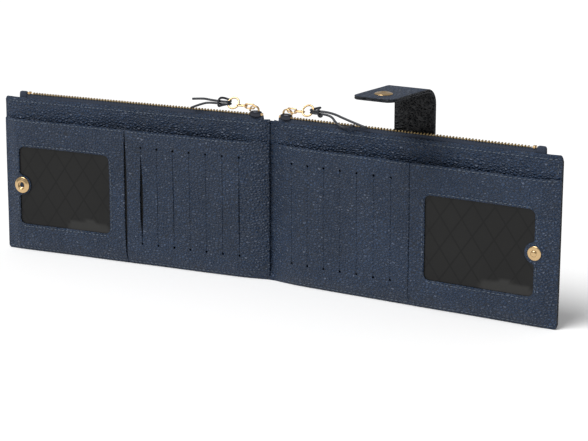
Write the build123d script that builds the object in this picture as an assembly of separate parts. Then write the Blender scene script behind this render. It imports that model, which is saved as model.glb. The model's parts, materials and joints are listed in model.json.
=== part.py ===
from build123d import *
import math
import os

# Long two-leaf purse with zip pockets, standing open on its lower edges.
# Each half is drawn in its own frame: X runs outwards from the fold, Y runs
# from the inside face towards the back, Z is up. place() puts it in the world.

# ---- driving dimensions, mm ----
half_length = 187.0
leather_height = 98.5
hem_height = 98.4
panel_height = 85.8
half_angle = 3.0            # each half swings this far from a flat opening
closed_gap = 2.6            # between the inside faces when folded shut
fold_clear = 1.0            # free space each side of the fold line
fold_start = 16.0           # inside leather bends back from here to the fold
end_start = 180.5           # sewn end bends back from here
corner_radius = 2.0

panel_thick = 0.9
panel_fold_back = 2.6
panel_end_back = 2.2
film_front = 0.9
film_thick = 0.2
pocket_cloth_front = 1.3
cloth_thick = 0.2
card_sheet_front = 1.55
card_sheet_pitch = 0.15
card_sheet_thick = 0.13
card_back_front = 2.63
card_back_thick = 0.17
wall_front = 3.0
wall_thick = 0.9
wall_fold_back = 1.6
wall_end_back = 1.2
bag_front = 3.9
bag_back = 6.9
bag_top = 89.6
shell_front = 7.2
shell_thick = 1.2
shell_back = shell_front + shell_thick
spine_half_width = 12.0

slit_count = 7
slit_first = 18.3
slit_pitch = 11.2
slit_low = 14.2
slit_high = 75.4
slit_width = 0.4
slit_hole = 1.6
card_reach = 87.0
mouth = 97.0                # opening of the identity pocket
mouth_width = 1.2

window_in = 107.0
window_out = 175.0
window_low = 17.8
window_high = 68.0
window_radius = 3.5
tongue_radius = 6.2
tongue_fillet = 2.0
snap_u = 174.5
snap_z = 43.2

zip_mid = (wall_front + wall_thick + shell_front) / 2
zip_in = 4.2
zip_out = 171.0
tape_thick = 0.4
tape_low = 90.0
tape_bend = 98.6
tape_top = 101.4
teeth_in = 12.0
teeth_out = 168.0
tooth_pitch = 2.0
tooth_long = 0.85
tooth_high = 1.5
tooth_wide = 2.0
tooth_mid_shift = 0.2

slider_u = 10.0
slider_long = 8.0
bar_u = 12.0
bar_z = 106.4
link_wire = 0.8
link_long = 6.4
link_wide = 2.4
ring_radius = 3.7
ring_wire = 1.0
lace_diameter = 1.4

strap_width = 26.0
strap_mid = half_length / 2
strap_thick = 2.0
strap_low = 76.0
strap_axis_z = 104.8
strap_clear = 0.3
strap_rise = 22.0           # hinge to the underside of the forward run
strap_bend = 6.0
strap_reach = 47.4          # hinge to the tip, forwards
strap_snap_reach = 34.0     # hinge to the snap, forwards
strap_corner = 5.0
strap_axis_w = shell_back + strap_thick / 2

stitch_long = 2.3
stitch_wide = 0.45
stitch_high = 0.3
stitch_pitch = 3.2

nodes = {}


def block(u0, u1, w0, w1, z0, z1):
    mid = ((u0 + u1) / 2, (w0 + w1) / 2, (z0 + z1) / 2)
    return Pos(*mid) * Box(u1 - u0, w1 - w0, z1 - z0)


def bent_sheet(path, thick, z0, z1):
    # path is the front face seen from above; the back face is moved in Y
    back = [(u, w + thick) for u, w in reversed(path)]
    outline = make_face(Polyline(*path, *back, close=True))
    return Pos(0, 0, z0) * extrude(outline, z1 - z0, dir=(0, 0, 1))


def upright_plate(outline, w0, w1):
    # outline drawn with X outwards and Y up, thickness from w0 to w1
    flat = extrude(outline, w1 - w0, dir=(0, 0, 1))
    return Pos(0, w1, 0) * Rot(90, 0, 0) * flat


def profile_run(points, u0, u1):
    # points are (w, z) of a closed section, run along X from u0 to u1
    outline = make_face(Polyline(*points, close=True))
    body = extrude(outline, u1 - u0, dir=(0, 0, 1))
    return Plane(origin=(u0, 0, 0), x_dir=(0, 1, 0), z_dir=(1, 0, 0)) * body


def disc(u, z, diameter, w0, w1):
    return Pos(u, (w0 + w1) / 2, z) * Rot(90, 0, 0) * Cylinder(diameter / 2, w1 - w0)


def end_rounding(height):
    # keeps the two outer corners of an upright sheet round
    width = half_length + 40.0
    outline = Pos(half_length - width / 2, height / 2) * RectangleRounded(width, height, corner_radius)
    return upright_plate(outline, -30, 40)


def place(shape, side):
    moved = Rot(0, 0, -half_angle) * Pos(0, closed_gap / 2, 0) * shape
    return moved if side == "right" else mirror(moved, about=Plane.YZ)


def add(name, shape, side):
    nodes[name] = place(shape, side)


def join(shapes):
    return Compound([solid for shape in shapes for solid in shape.solids()])


# ---- leather, lining and pockets ----
def outer_shell(side):
    sheet = block(spine_half_width, half_length, shell_front, shell_back, 0, leather_height)
    sheet = sheet & end_rounding(leather_height)
    if side == "left":
        sheet -= disc(strap_mid, closure_z(), 2.2, shell_front - 1, shell_back + 1)
    return sheet


def spine_leather():
    # strip of the outer leather across the fold, following both halves
    a = math.radians(half_angle)
    ends = []
    for w in (shell_front, shell_back):
        p = w + closed_gap / 2
        u = spine_half_width
        ends.append((u * math.cos(a) + p * math.sin(a), -u * math.sin(a) + p * math.cos(a)))
    (x0, y0), (x1, y1) = ends
    mid_front = (0, (shell_front + closed_gap / 2) / math.cos(a))
    mid_back = (0, (shell_back + closed_gap / 2) / math.cos(a))
    ring = [(-x0, y0), mid_front, (x0, y0), (x1, y1), mid_back, (-x1, y1)]
    return extrude(make_face(Polyline(*ring, close=True)), leather_height, dir=(0, 0, 1))


def zip_wall():
    path = [(fold_clear, wall_front + wall_fold_back), (zip_in, wall_front), (end_start, wall_front)]
    path.append((half_length, wall_front + wall_end_back))
    return bent_sheet(path, wall_thick, 0, hem_height) & end_rounding(hem_height)


def zip_bag():
    t = cloth_thick
    section = [(bag_front, bag_top), (bag_front, 3.0), (bag_back, 3.0), (bag_back, bag_top)]
    section += [(bag_back - t, bag_top), (bag_back - t, 3.0 + t)]
    section += [(bag_front + t, 3.0 + t), (bag_front + t, bag_top)]
    return profile_run(section, 6.5, 180.0)


def card_backing():
    return block(15.0, 180.0, card_back_front, card_back_front + card_back_thick, 3.0, 83.5)


def inside_path(u0, u1):
    path = []
    if u0 < fold_start:
        path += [(u0, panel_fold_back), (fold_start, 0)]
    else:
        path.append((u0, 0))
    if u1 > end_start:
        path += [(end_start, 0), (u1, panel_end_back)]
    else:
        path.append((u1, 0))
    return path


def slit_positions():
    return [slit_first + slit_pitch * i for i in range(slit_count)]


def card_panel():
    sheet = bent_sheet(inside_path(fold_clear, mouth - mouth_width / 2), panel_thick, 0, panel_height)
    for u in slit_positions():
        sheet -= block(u - slit_width / 2, u + slit_width / 2, -1, 2, slit_low, slit_high)
        sheet -= disc(u, slit_low, slit_hole, -1, 2)
        sheet -= disc(u, slit_high, slit_hole, -1, 2)
    return sheet


def card_pockets():
    sheets = []
    for i, u in enumerate(slit_positions()):
        w = card_sheet_front + card_sheet_pitch * (slit_count - 1 - i)
        sheets.append(block(u - 3, u + card_reach, w, w + card_sheet_thick, 10.0, 80.0))
    return join(sheets)


def window_outline():
    mid = ((window_in + window_out) / 2, (window_low + window_high) / 2)
    size = (window_out - window_in, window_high - window_low)
    shape = Pos(*mid) * RectangleRounded(*size, window_radius)
    shape -= Pos(snap_u, snap_z) * Circle(tongue_radius)
    inner = [v for v in shape.vertices() if abs(v.X - window_out) < 0.3 and abs(v.Y - snap_z) < 8]
    return fillet(inner, tongue_fillet)


def window_frame():
    sheet = bent_sheet(inside_path(mouth + mouth_width / 2, half_length), panel_thick, 0, panel_height)
    sheet = sheet & end_rounding(panel_height)
    sheet -= upright_plate(window_outline(), -1, 2)
    return sheet - disc(snap_u, snap_z, 3.0, -1, 2)


def window_film():
    sheet = block(102.0, 180.0, film_front, film_front + film_thick, 12.0, 74.0)
    return sheet - disc(snap_u, snap_z, 9.4, 0, 2)


def window_lining():
    sheet = block(98.5, 180.0, pocket_cloth_front, pocket_cloth_front + cloth_thick, 3.0, 84.0)
    return sheet - disc(snap_u, snap_z, 9.4, 0, 2)


# ---- snap fasteners ----
def snap_ring(inner, outer, height):
    # pressed socket: raised rim round a blind hole, standing on Z = 0
    section = [(inner / 2, 0), (outer / 2, 0), (outer / 2, height * 0.55)]
    section += [(outer / 2 - 0.5, height), (inner / 2, height)]
    return revolve(make_face(Plane.XZ * Polyline(*section, close=True)), Axis.Z)


def inside_snap(side):
    face = Pos(snap_u, 0, snap_z) * Rot(90, 0, 0)
    if side == "left":
        cup = snap_ring(4.4, 10.4, 1.2)
        shank = Pos(0, 0, -0.45) * (Cylinder(1.4, 0.9) - Cylinder(0.9, 0.9))
        floor = Pos(0, 0, 0.1) * Cylinder(2.2, 0.2)
        return face * (cup + floor + shank)
    base = snap_ring(2.0, 8.2, 0.4) + Pos(0, 0, 0.2) * Cylinder(1.0, 0.4)
    post = Pos(0, 0, 1.2) * Cylinder(1.8, 1.6) + Pos(0, 0, 2.1) * Cone(1.8, 1.3, 0.2)
    return face * (base + post + Pos(0, 0, -0.45) * Cylinder(1.4, 0.9))


def inside_snap_back():
    return disc(snap_u, snap_z, 8.8, panel_thick, panel_thick + 0.35)


def closure_z():
    return strap_axis_z - strap_snap_reach


def closure_stud():
    # stands on the outer leather of the left half, pointing backwards
    face = Pos(strap_mid, shell_back, closure_z()) * Rot(-90, 0, 0)
    base = snap_ring(2.0, 8.6, 0.3) + Pos(0, 0, 0.15) * Cylinder(1.0, 0.3)
    post = Pos(0, 0, 0.7) * Cylinder(1.8, 0.8) + Pos(0, 0, 1.2) * Cone(1.8, 1.4, 0.2)
    shank = Pos(0, 0, -0.6) * Cylinder(1.1, 1.2)
    return face * (base + post + shank)


def closure_stud_back():
    return disc(strap_mid, closure_z(), 8.0, bag_back, shell_front) - disc(strap_mid, closure_z(), 0.8, 6, 8)


# ---- zip ----
def zip_tape(front):
    t = tape_thick
    lean = 1.1
    w = bag_front
    section = [(w, tape_low), (w, tape_bend), (w + lean, tape_top), (w + lean + t, tape_top)]
    section += [(w + t, tape_bend - 0.1), (w + t, tape_low)]
    if not front:
        section = [(2 * zip_mid - a, b) for a, b in reversed(section)]
    return profile_run(section, zip_in, zip_out)


def tooth(u, w):
    half = tooth_wide / 2
    body = block(u - tooth_long / 2, u + tooth_long / 2, w - half, w + half, tape_top, tape_top + tooth_high)
    top = body.edges().filter_by(Axis.X).group_by(Axis.Z)[-1]
    return chamfer(top, 0.3)


def zip_teeth(front):
    count = int((teeth_out - teeth_in) / tooth_pitch)
    sign = -1 if front else 1
    first = tooth(teeth_in, zip_mid + sign * tooth_mid_shift)
    shift = 0 if front else tooth_pitch / 2
    return join([Pos(shift + tooth_pitch * i, 0, 0) * first for i in range(count)])


def zip_stops():
    far = block(168.6, 170.4, zip_mid - 1.5, zip_mid + 1.5, tape_top, tape_top + tooth_high)
    near = block(zip_in, 5.7, zip_mid - 1.1, zip_mid + 1.1, tape_top, tape_top + tooth_high)
    return join([far, near])


def zip_end_tab():
    # folded tape end standing at the outer end of the zip
    w = zip_mid
    section = [(w - 1.3, 92.0), (w - 1.3, 102.1), (w - 0.5, 102.9), (w + 0.5, 102.9)]
    section += [(w + 1.3, 102.1), (w + 1.3, 92.0)]
    return profile_run(section, 171.0, 176.5)


def zip_slider():
    u0 = slider_u - slider_long / 2
    u1 = slider_u + slider_long / 2
    w = zip_mid
    section = [(w - 2.4, 100.4), (w - 2.4, 103.7), (w - 2.0, 104.1), (w + 2.0, 104.1), (w + 2.4, 103.7)]
    section += [(w + 2.4, 100.4), (w + 1.25, 100.4), (w + 1.25, 100.85), (w + 1.6, 100.85)]
    section += [(w + 1.6, 103.3), (w - 1.6, 103.3), (w - 1.6, 100.85), (w - 1.25, 100.85), (w - 1.25, 100.4)]
    body = profile_run(section, u0, u1)
    for s in (-1, 1):
        lug = upright_plate(Pos(bar_u, bar_z - 0.9) * RectangleRounded(2.2, 3.4, 0.8), w - 0.35, w + 0.35)
        body += Pos(0, 1.35 * s, 0) * (lug - block(0, 20, -20, 20, 90, 104.0))
    return body + Pos(bar_u, w, bar_z) * Rot(90, 0, 0) * Cylinder(0.45, 3.2)


def chain_link(near, upright):
    # stadium of round wire; near is the centre of the wire at the inner end
    half = (link_long - link_wide) / 2
    r = link_wide / 2
    top = Line((-half, r), (half, r))
    bend_out = ThreePointArc((half, r), (half + r, 0), (half, -r))
    low = Line((half, -r), (-half, -r))
    bend_in = ThreePointArc((-half, -r), (-half - r, 0), (-half, r))
    path = Wire([top, bend_out, low, bend_in])
    section = Plane(origin=(0, r, 0), z_dir=(1, 0, 0)) * Circle(link_wire / 2)
    link = sweep(section, path)
    turn = Rot(90, 0, 0) if upright else Rot(0, 0, 0)
    return Pos(near + link_long / 2, zip_mid, bar_z) * turn * link


def link_near(index):
    if index == 0:
        return bar_u - 0.45 - link_wire / 2 - 0.3
    return link_near(0) + link_long - link_wire - 0.3


def ring_centre():
    rise = 1.1
    near = link_near(1) + link_long - link_wire / 2 - ring_wire / 2 - 0.3
    return near + math.sqrt(ring_radius ** 2 - rise ** 2), bar_z + rise


def pull_ring():
    u, z = ring_centre()
    return Pos(u, zip_mid, z) * Rot(90, 0, 0) * Torus(ring_radius, ring_wire / 2)


def lace_route(side):
    # one lace, looped on the ring as a lark's head; tails lie outwards
    u, z = ring_centre()
    p = u + ring_radius
    w = zip_mid
    knot = [
        (p + 12.0, w - 1.6, z + 0.9), (p - 1.5, w - 1.5, z + 0.85), (p - 1.5, w + 1.5, z + 0.85),
        (p + 6.0, w + 1.1, z + 2.9), (p + 6.0, w - 3.2, z + 2.9), (p + 6.0, w - 3.2, z - 2.4),
        (p + 6.0, w + 0.9, z - 2.4), (p - 1.5, w + 1.5, z - 0.85), (p - 1.5, w - 1.5, z - 0.85),
        (p + 12.0, w - 1.6, z - 0.9),
    ]
    if side == "right":
        high = [(67.0, 1.5, 102.2), (53.0, 1.9, 105.6)]
        low = [(46.0, 2.0, 102.6), (53.0, 1.4, 99.9), (59.5, 1.0, 103.0)]
    else:
        high = [(53.0, 3.2, 108.0), (45.0, 3.5, 109.2)]
        low = [(46.5, 3.0, 105.6), (53.5, 2.2, 102.4)]
    return high + knot + low


def fillet_radii(points):
    radii = []
    for a, b, c in zip(points, points[1:], points[2:]):
        one = Vector(*b) - Vector(*a)
        two = Vector(*c) - Vector(*b)
        turn = math.radians(one.get_angle(two))
        radii.append(0.45 * min(one.length, two.length) / math.tan(turn / 2))
    return [min(r, 12.0) for r in radii]


def pull_lace(side):
    points = lace_route(side)
    radii = fillet_radii(points)
    path = FilletPolyline(*points, radius=radii)
    start = Vector(*points[0])
    section = Plane(origin=start, z_dir=Vector(*points[1]) - start) * Circle(lace_diameter / 2)
    lace = sweep(section, path)
    print("lace", side, "length", round(path.length, 1), "smallest radius", round(min(radii), 2))
    print("  volume over section times length", round(lace.volume / (path.length * section.area), 4))
    return lace


# ---- closing strap ----
def strap_stripe(t0, t1):
    # side view of one leather layer of the free strap, t measured from the inside face
    w = strap_axis_w
    z = strap_axis_z
    top = z + strap_rise
    lines = []
    for t in (t0, t1):
        face = w - strap_thick / 2 + t
        lines.append((face, top + t))
    (w0, z0), (w1, z1) = lines
    tip = w - strap_reach
    r = strap_bend
    inside = FilletPolyline((w0, z), (w0, z0), (tip, z0), radius=r - t1 + 0.5)
    outside = FilletPolyline((tip, z1), (w1, z1), (w1, z), radius=r - t0 + 0.5 + (t1 - t0))
    close_tip = Line((tip, z0), (tip, z1))
    close_low = Line((w1, z), (w0, z))
    return make_face([inside, close_tip, outside, close_low])


def strap_plan_trim():
    # rounds the two corners of the tip, seen from above
    long = strap_reach + 40
    mid = strap_axis_w - strap_reach + long / 2
    outline = Pos(strap_mid, mid) * RectangleRounded(strap_width, long, strap_corner)
    return Pos(0, 0, strap_axis_z + 12) * extrude(outline, 40, dir=(0, 0, 1))


def strap_layer(t0, t1, inner):
    body = extrude(strap_stripe(t0, t1), strap_width, dir=(0, 0, 1))
    body = Plane(origin=(strap_mid - strap_width / 2, 0, 0), x_dir=(0, 1, 0), z_dir=(1, 0, 0)) * body
    low = body & block(0, 200, -60, 60, strap_axis_z - 1, strap_axis_z + 12)
    body = low + (body & strap_plan_trim())
    hinge = Pos(strap_mid, strap_axis_w, strap_axis_z) * Rot(0, 90, 0) * Cylinder(strap_thick / 2, strap_width)
    near = strap_axis_w - 5 if inner else strap_axis_w
    body = body + (hinge & block(0, 200, near, near + 5, strap_axis_z - 3, strap_axis_z))
    hole = Pos(strap_mid, strap_axis_w - strap_snap_reach, strap_axis_z + strap_rise) * Cylinder(1.3, 12)
    return body - hole


def strap_base():
    top = strap_axis_z - strap_thick / 2 - strap_clear
    plate = block(strap_mid - strap_width / 2, strap_mid + strap_width / 2, shell_back,
                  shell_back + strap_thick, strap_low, top)
    return plate


def strap_snap_cap():
    z = strap_axis_z + strap_rise + strap_thick
    dome = [(0, 0), (5.3, 0), (5.3, 0.35), (4.6, 0.8), (2.8, 1.0), (1.6, 0.75), (0, 0.75)]
    cap = revolve(make_face(Plane.XZ * Polyline(*dome, close=True)), Axis.Z)
    post = Pos(0, 0, -1.0) * Cylinder(1.2, 2.0)
    return Pos(strap_mid, strap_axis_w - strap_snap_reach, z) * (cap + post)


def strap_snap_socket():
    z = strap_axis_z + strap_rise
    ring = snap_ring(4.6, 10.4, 1.0)
    return Pos(strap_mid, strap_axis_w - strap_snap_reach, z) * Rot(180, 0, 0) * ring


# ---- thread ----
def stitch_row(u0, u1, z, w):
    count = int((u1 - u0) / stitch_pitch)
    one = block(u0, u0 + stitch_long, w - stitch_high, w, z - stitch_wide / 2, z + stitch_wide / 2)
    return [Pos(stitch_pitch * i, 0, 0) * one for i in range(count)]


def stitch_column(u, z0, z1, w):
    count = int((z1 - z0) / stitch_pitch)
    one = block(u - stitch_wide / 2, u + stitch_wide / 2, w - stitch_high, w, z0, z0 + stitch_long)
    return [Pos(0, 0, stitch_pitch * i) * one for i in range(count)]


def stitching():
    out = 1.8
    rows = stitch_row(8, 179, hem_height - 2.2, wall_front)
    rows += stitch_row(18, 95, panel_height - 2.2, 0) + stitch_row(99, 179, panel_height - 2.2, 0)
    rows += stitch_row(18, 95, 2.6, 0) + stitch_row(99, 179, 2.6, 0)
    rows += stitch_row(window_in + 3, window_out - 3, window_low - out, 0)
    rows += stitch_row(window_in + 3, window_out - 3, window_high + out, 0)
    rows += stitch_column(window_in - out, window_low + 3, window_high - 3, 0)
    rows += stitch_column(window_out + out, window_low + 3, snap_z - 7, 0)
    rows += stitch_column(window_out + out, snap_z + 7, window_high - 3, 0)
    return join(rows)


def strap_stitching():
    # box of stitches on the sewn end and a row along both long edges above
    back = shell_back + strap_thick + stitch_high
    left = strap_mid - strap_width / 2 + 2
    right = strap_mid + strap_width / 2 - 2
    rows = stitch_row(left, right, strap_low + 2, back) + stitch_row(left, right, 96.0, back)
    rows += stitch_column(left, strap_low + 4, 95.0, back) + stitch_column(right, strap_low + 4, 95.0, back)
    return join(rows)


for side in ("right", "left"):
    add(side + "_outer_shell", outer_shell(side), side)
    add(side + "_zip_wall", zip_wall(), side)
    add(side + "_zip_bag", zip_bag(), side)
    add(side + "_card_backing", card_backing(), side)
    add(side + "_card_panel", card_panel(), side)
    add(side + "_card_pockets", card_pockets(), side)
    add(side + "_window_frame", window_frame(), side)
    add(side + "_window_film", window_film(), side)
    add(side + "_window_lining", window_lining(), side)
    add(side + "_zip_tape_front", zip_tape(True), side)
    add(side + "_zip_tape_back", zip_tape(False), side)
    add(side + "_zip_teeth_front", zip_teeth(True), side)
    add(side + "_zip_teeth_back", zip_teeth(False), side)
    add(side + "_zip_stops", zip_stops(), side)
    add(side + "_zip_end_tab", zip_end_tab(), side)
    add(side + "_zip_slider", zip_slider(), side)
    add(side + "_pull_link_a", chain_link(link_near(0), True), side)
    add(side + "_pull_link_b", chain_link(link_near(1), False), side)
    add(side + "_pull_ring", pull_ring(), side)
    add(side + "_pull_lace", pull_lace(side), side)
    add(side + "_inside_snap", inside_snap(side), side)
    add(side + "_inside_snap_back", inside_snap_back(), side)
    add(side + "_stitching", stitching(), side)

nodes["spine_leather"] = spine_leather()
add("closure_stud", closure_stud(), "left")
add("closure_stud_back", closure_stud_back(), "left")
add("strap_base", strap_base(), "right")
add("strap_outer", strap_layer(strap_thick / 2, strap_thick, False), "right")
add("strap_inner", strap_layer(0, strap_thick / 2, True), "right")
add("strap_snap_cap", strap_snap_cap(), "right")
add("strap_snap_socket", strap_snap_socket(), "right")
add("strap_stitching", strap_stitching(), "right")

# the origin is the middle of the base of the whole thing
boxes = [shape.bounding_box() for shape in nodes.values()]
low_y = min(b.min.Y for b in boxes)
high_y = max(b.max.Y for b in boxes)
shift_y = -(low_y + high_y) / 2
print("fold axis at y", round(shift_y, 4), "depth", round(high_y - low_y, 3))
os.makedirs("parts", exist_ok=True)
for name, shape in nodes.items():
    export_step(Pos(0, shift_y, 0) * shape, "parts/" + name + ".step")
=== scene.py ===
import json
import math
import bmesh
import bpy
import numpy as np
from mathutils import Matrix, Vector


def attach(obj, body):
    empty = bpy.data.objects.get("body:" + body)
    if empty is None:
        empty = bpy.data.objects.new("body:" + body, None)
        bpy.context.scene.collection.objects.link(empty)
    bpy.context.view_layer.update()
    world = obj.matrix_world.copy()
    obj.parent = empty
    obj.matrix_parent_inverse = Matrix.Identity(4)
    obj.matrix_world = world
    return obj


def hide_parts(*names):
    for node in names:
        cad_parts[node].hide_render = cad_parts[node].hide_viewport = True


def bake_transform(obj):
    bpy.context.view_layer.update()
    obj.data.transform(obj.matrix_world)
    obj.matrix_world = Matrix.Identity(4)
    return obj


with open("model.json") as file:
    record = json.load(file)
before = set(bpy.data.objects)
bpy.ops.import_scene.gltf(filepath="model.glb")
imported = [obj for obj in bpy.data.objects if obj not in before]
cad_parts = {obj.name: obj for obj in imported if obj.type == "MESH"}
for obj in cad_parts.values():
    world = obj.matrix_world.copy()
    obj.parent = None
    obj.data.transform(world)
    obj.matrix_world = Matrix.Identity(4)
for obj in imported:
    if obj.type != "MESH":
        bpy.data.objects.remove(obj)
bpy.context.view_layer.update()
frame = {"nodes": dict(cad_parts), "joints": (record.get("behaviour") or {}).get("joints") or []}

# Long leather purse in two zipped halves, standing open like a book.
# Each half is drawn in its own frame, in mm: out from the fold, deep from the inside face, up.
mm = 0.001
sides = ("right", "left")
purse = {"turn": 3.0, "halfGap": 1.3, "length": 187.0, "height": 98.5, "hem": 99.4,
         "panel": 85.8, "corner": 2.0, "footCreep": 1.8}
foldPoint = np.array([j["pos_m"] for j in frame["joints"] if j["name"] == "spine_fold"][0])


def place(side, out, deep, up):
    # turns a half by its 3 degrees about the fold line, mirrors the left one, and gives metres
    out, deep, up = np.broadcast_arrays(*(np.asarray(v, float) for v in (out, deep, up)))
    a = math.radians(purse["turn"])
    p = deep + purse["halfGap"]
    if side == "left":  # its outer foot has crept a little towards the viewer
        reach = np.clip(out / purse["length"], 0, 1) ** 1.5
        p = p - purse["footCreep"] * reach * np.clip(1 - up / purse["height"], 0, 1)
    x = out * math.cos(a) + p * math.sin(a)
    y = p * math.cos(a) - out * math.sin(a) + foldPoint[1] / mm
    return np.stack((x if side == "right" else -x, y, up), -1) * mm


def step(value, low, high):
    # smooth rise from 0 at low to 1 at high
    t = np.clip((np.asarray(value, float) - low) / (high - low), 0, 1)
    return t * t * (3 - 2 * t)


def addObject(name, data):
    # a new object, linked to the scene
    made = bpy.data.objects.new(name, data)
    bpy.context.scene.collection.objects.link(made)
    return made


# camera and laces
camera = {"place": (0.5118, -0.9091, 0.3158), "aim": (0.01413, 0.02499, 0.0387), "lens": 111.4}
shot = bpy.data.cameras.new("camera")
shot.lens, shot.sensor_width = camera["lens"], 36.0
shot.clip_start, shot.clip_end = 0.02, 40.0
viewer = addObject("camera", shot)
viewer.location = camera["place"]
viewer.rotation_euler = (Vector(camera["aim"]) - Vector(camera["place"])).to_track_quat("-Z", "Y").to_euler()
bpy.context.scene.camera = viewer

lace = {"thick": 1.4, "far": 28.58, "mid": 5.55, "level": 107.5, "loop": 2.5,
        "right": {"length": 105.0, "high": [(67, 1.5, 102.2), (53, 1.9, 105.6)],
                  "low": [(46, 2, 102.6), (52.5, 1.4, 100.3), (58, 1, 103)]},
        "left": {"length": 83.0, "high": [(51.5, 3.3, 108.3), (44, 3.5, 109.2)],
                 "low": [(45.5, 3, 105.8), (52, 2.3, 103)]}}
lacePieces = {}
for side in sides:
    p, w, z, k = lace["far"], lace["mid"], lace["level"], lace["loop"]
    # through the ring and back, with one wrap that just touches the two strands it holds
    knot = [(p + 12, w - 0.5, z + 0.75), (p - 1.5, w - k, z + 0.75), (p - 1.5, w + k, z + 0.75),
            (p + 4.4, w + 2.0, z + 2.5), (p + 4.8, w - 3.0, z + 2.5),
            (p + 5.2, w - 3.0, z - 2.5), (p + 5.6, w + 2.0, z - 2.5),
            (p - 1.5, w + k, z - 0.75), (p - 1.5, w - k, z - 0.75), (p + 12, w - 0.5, z - 0.75)]
    route = np.array(lace[side]["high"] + knot + lace[side]["low"], float)
    points = place(side, *route.T)
    curve = bpy.data.curves.new(side + "_lace", "CURVE")
    curve.dimensions = "3D"
    spline = curve.splines.new("NURBS")
    spline.points.add(len(points) - 1)
    for point, co in zip(spline.points, points):
        point.co = (*co, 1)
    spline.order_u = 3
    spline.use_endpoint_u = True
    spline.resolution_u = 10
    holder = addObject(side + "_lace_route", curve)
    line = bpy.data.meshes.new_from_object(holder.evaluated_get(bpy.context.evaluated_depsgraph_get()))
    path = [tuple(v.co) for v in line.vertices]
    curve.bevel_depth = lace["thick"] / 2 * mm
    curve.bevel_resolution = 3
    curve.use_fill_caps = True
    tube = bpy.data.meshes.new_from_object(holder.evaluated_get(bpy.context.evaluated_depsgraph_get()))
    bpy.data.objects.remove(holder)
    tube.name = side + "_lace"
    shape = bmesh.new()
    shape.from_mesh(tube)
    bmesh.ops.remove_doubles(shape, verts=shape.verts, dist=1e-6)
    bmesh.ops.recalc_face_normals(shape, faces=shape.faces)
    shape.to_mesh(tube)
    shape.free()
    tube.polygons.foreach_set("use_smooth", np.ones(len(tube.polygons), bool))
    piece = addObject(side + "_lace", tube)
    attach(piece, side + "_ring")
    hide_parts(side + "_pull_lace")
    lacePieces[side] = piece
print("camera and laces done")


# finishes
def colour(text):
    # sRGB hex to linear
    parts = [int(text[i:i + 2], 16) / 255 for i in (1, 3, 5)]
    return tuple(c / 12.92 if c < 0.04045 else ((c + 0.055) / 1.055) ** 2.4 for c in parts) + (1.0,)


def newFinish(name, values=None):
    # a material with the given values on its shader
    made = bpy.data.materials.new(name)
    made.use_nodes = True
    shader = made.node_tree.nodes["Principled BSDF"]
    for key, value in (values or {}).items():
        shader.inputs[key].default_value = value
    return made, made.node_tree, shader


def addNode(tree, kind, settings=None, values=None, links=None):
    # one node with its settings, socket values and incoming links
    node = tree.nodes.new(kind)
    for key, value in (settings or {}).items():
        setattr(node, key, value)
    for key, value in (values or {}).items():
        node.inputs[key].default_value = value
    for key, source in (links or {}).items():
        tree.links.new(source, node.inputs[key])
    return node


def coordsOf(tree):
    return addNode(tree, "ShaderNodeTexCoord").outputs["Object"]


def noiseOf(tree, at, scale, detail=2.0, output=0):
    values = {"Scale": scale, "Detail": detail}
    return addNode(tree, "ShaderNodeTexNoise", values=values, links={"Vector": at}).outputs[output]


def turnOf(tree, at, turn, stretch=(1, 1, 1)):
    values = {"Rotation": (0.0, turn, 0.0), "Scale": stretch}
    return addNode(tree, "ShaderNodeMapping", values=values, links={"Vector": at}).outputs[0]


wavePitch = 0.314  # metres from rib to rib in a wave texture of scale 1


def bandsOf(tree, at, turn, pitch, bend=0.0, detail=2.0):
    # straight ribs of the given pitch in mm
    values = {"Scale": wavePitch / (pitch * mm), "Distortion": bend, "Detail": detail}
    kind = {"wave_type": "BANDS", "bands_direction": "X"}
    return addNode(tree, "ShaderNodeTexWave", kind, values, {"Vector": turnOf(tree, at, turn)}).outputs["Fac"]


def ramp(tree, value, low=0.0, high=1.0, toLow=0.0, toHigh=1.0, smooth=False):
    kind = {"interpolation_type": "SMOOTHSTEP" if smooth else "LINEAR"}
    ends = {"From Min": low, "From Max": high, "To Min": toLow, "To Max": toHigh}
    return addNode(tree, "ShaderNodeMapRange", kind, ends, {"Value": value}).outputs[0]


def mixOf(tree, share, low, high):
    # mixes two colours, each given as hex text or as a socket
    node = addNode(tree, "ShaderNodeMix", {"data_type": "RGBA"}, links={0: share})
    for key, value in ((6, low), (7, high)):
        if isinstance(value, str):
            node.inputs[key].default_value = colour(value)
        else:
            tree.links.new(value, node.inputs[key])
    return node.outputs[2]


def reliefOf(tree, shader, height, strength, depth):
    values = {"Strength": strength, "Distance": depth}
    node = addNode(tree, "ShaderNodeBump", values=values, links={"Height": height})
    tree.links.new(node.outputs[0], shader.inputs["Normal"])


def vectorOf(tree, operation, values, links):
    return addNode(tree, "ShaderNodeVectorMath", {"operation": operation}, values, links).outputs[0]


def mathOf(tree, operation, values, links):
    return addNode(tree, "ShaderNodeMath", {"operation": operation}, values, links).outputs[0]


def markOf(tree, name):
    return addNode(tree, "ShaderNodeAttribute", {"attribute_name": name}).outputs["Fac"]


def grainOf(tree, cell, stretch, warp=0.35):
    # pebbles: distance to the edges between cells of the given size in mm, on slightly warped coordinates
    at = coordsOf(tree)
    turned = turnOf(tree, at, 0.6, stretch)
    drift = noiseOf(tree, turned, 0.4 / (cell * mm), output="Color")
    shift = vectorOf(tree, "SCALE", {"Scale": warp * 2 * cell * mm}, {0: drift})
    moved = vectorOf(tree, "ADD", {}, {0: turned, 1: shift})
    values = {"Scale": 1 / (cell * mm), "Randomness": 0.9}
    cells = addNode(tree, "ShaderNodeTexVoronoi", {"feature": "DISTANCE_TO_EDGE"}, values, {"Vector": moved})
    return at, cells.outputs["Distance"]


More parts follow.
